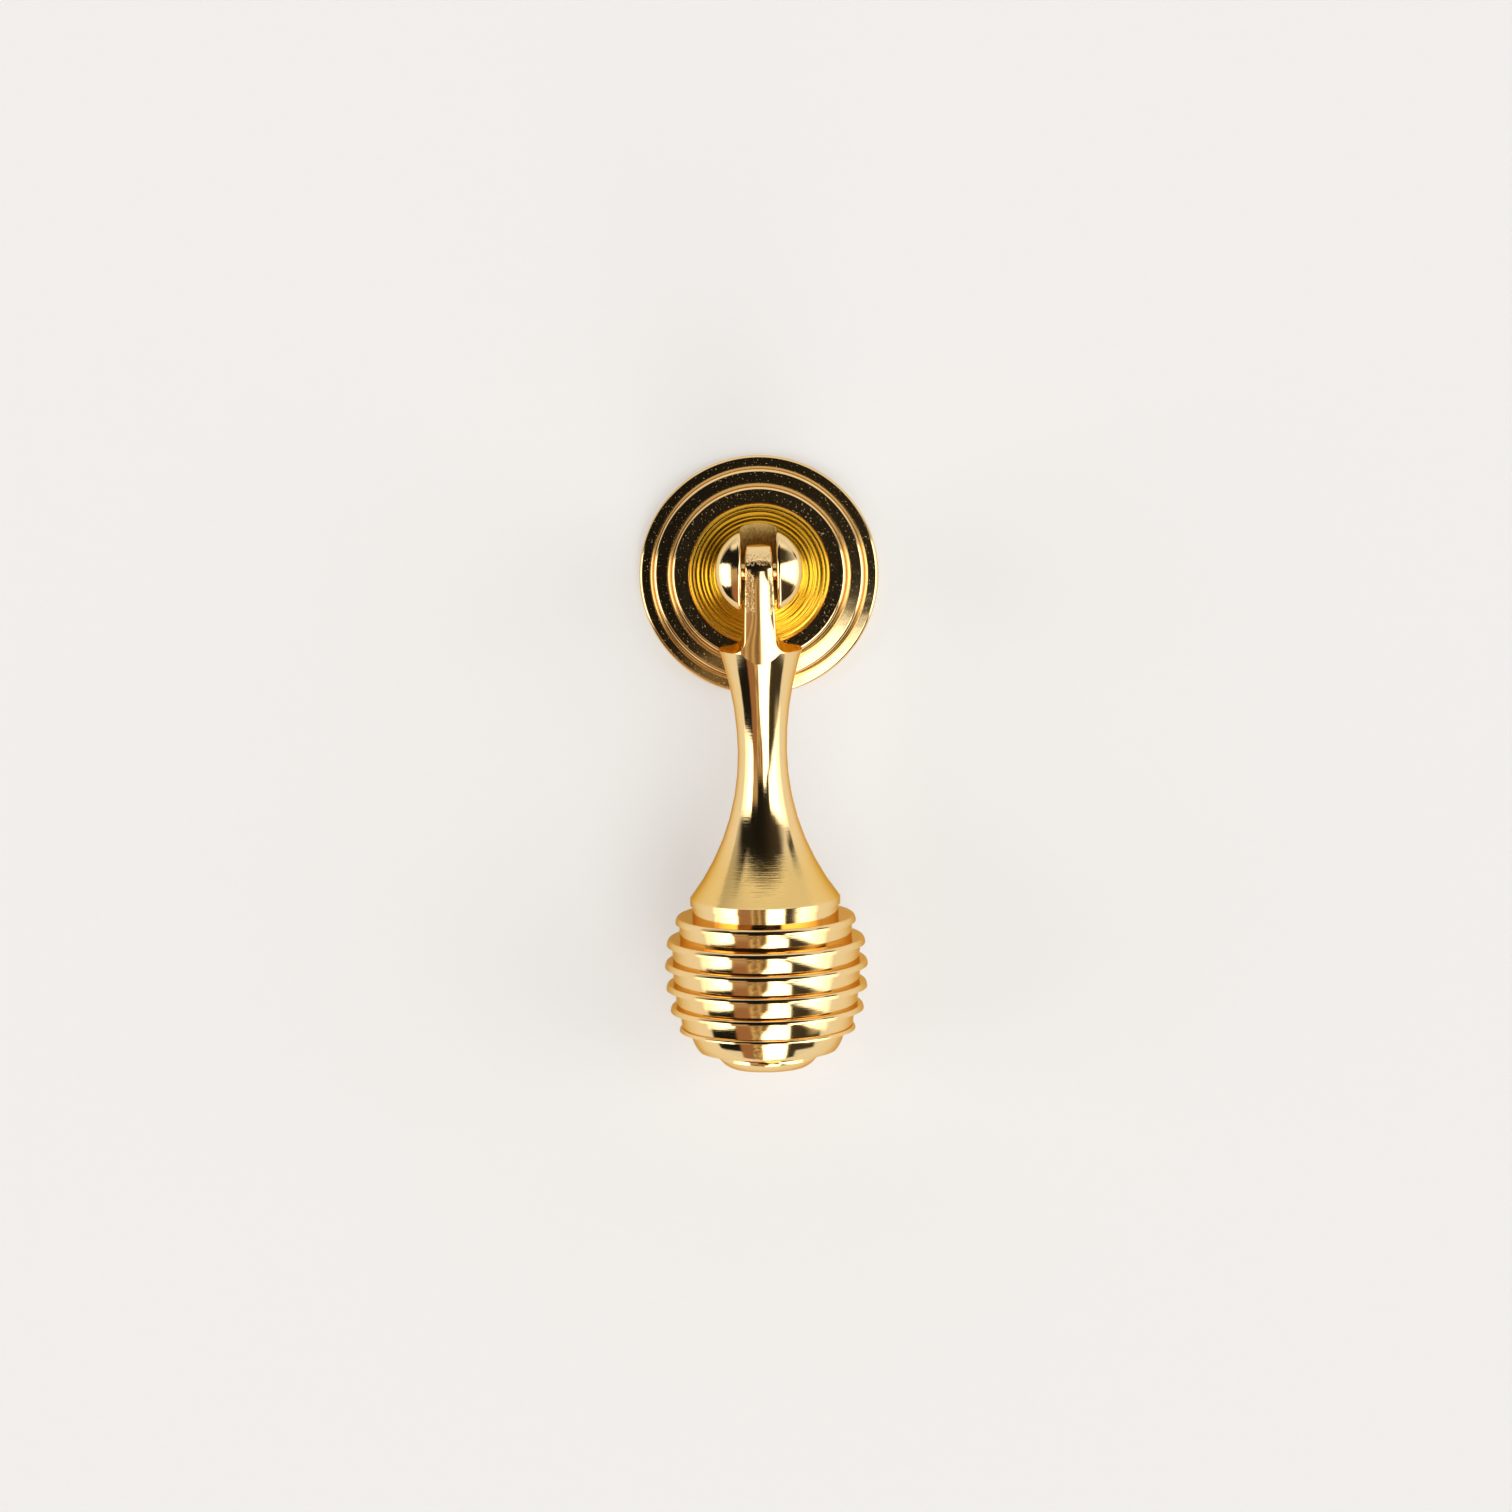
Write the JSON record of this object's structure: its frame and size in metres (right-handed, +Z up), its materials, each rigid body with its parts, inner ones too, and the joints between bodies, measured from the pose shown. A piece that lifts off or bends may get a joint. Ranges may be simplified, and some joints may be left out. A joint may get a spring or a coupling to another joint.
{
  "type": "drop pull",
  "caption": "Cabinet drop pull: stepped round backplate, slotted ball post and a pinned drop with a flared neck and a ringed beehive grip that swings out to pull a drawer.",
  "frame": {"origin": "centre of the backplate's back face, where it sits on the drawer front", "axes": "+Z up the drawer front, +Y into the drawer front, +X to the right seen from the front, which faces -Y"},
  "size_m": [0.0286, 0.0243, 0.0735],
  "materials": {
    "plate_brass": "polished, with an unpolished turned dish",
    "post_brass": "polished ball, slot as milled",
    "pin_brass": "plain drawn",
    "drop_brass": "polished"
  },
  "bodies": {
    "base": {"backplate": "plate_brass", "ball_post": "post_brass", "pivot_pin": "pin_brass"},
    "drop": {"drop": "drop_brass"}
  },
  "joints": [
    {"name": "drop_swing", "type": "hinge", "parent": "base", "child": "drop", "pos_m": [0, -0.0196, 0], "axis": [-1, 0, 0], "range_deg": [0, 140]}
  ]
}
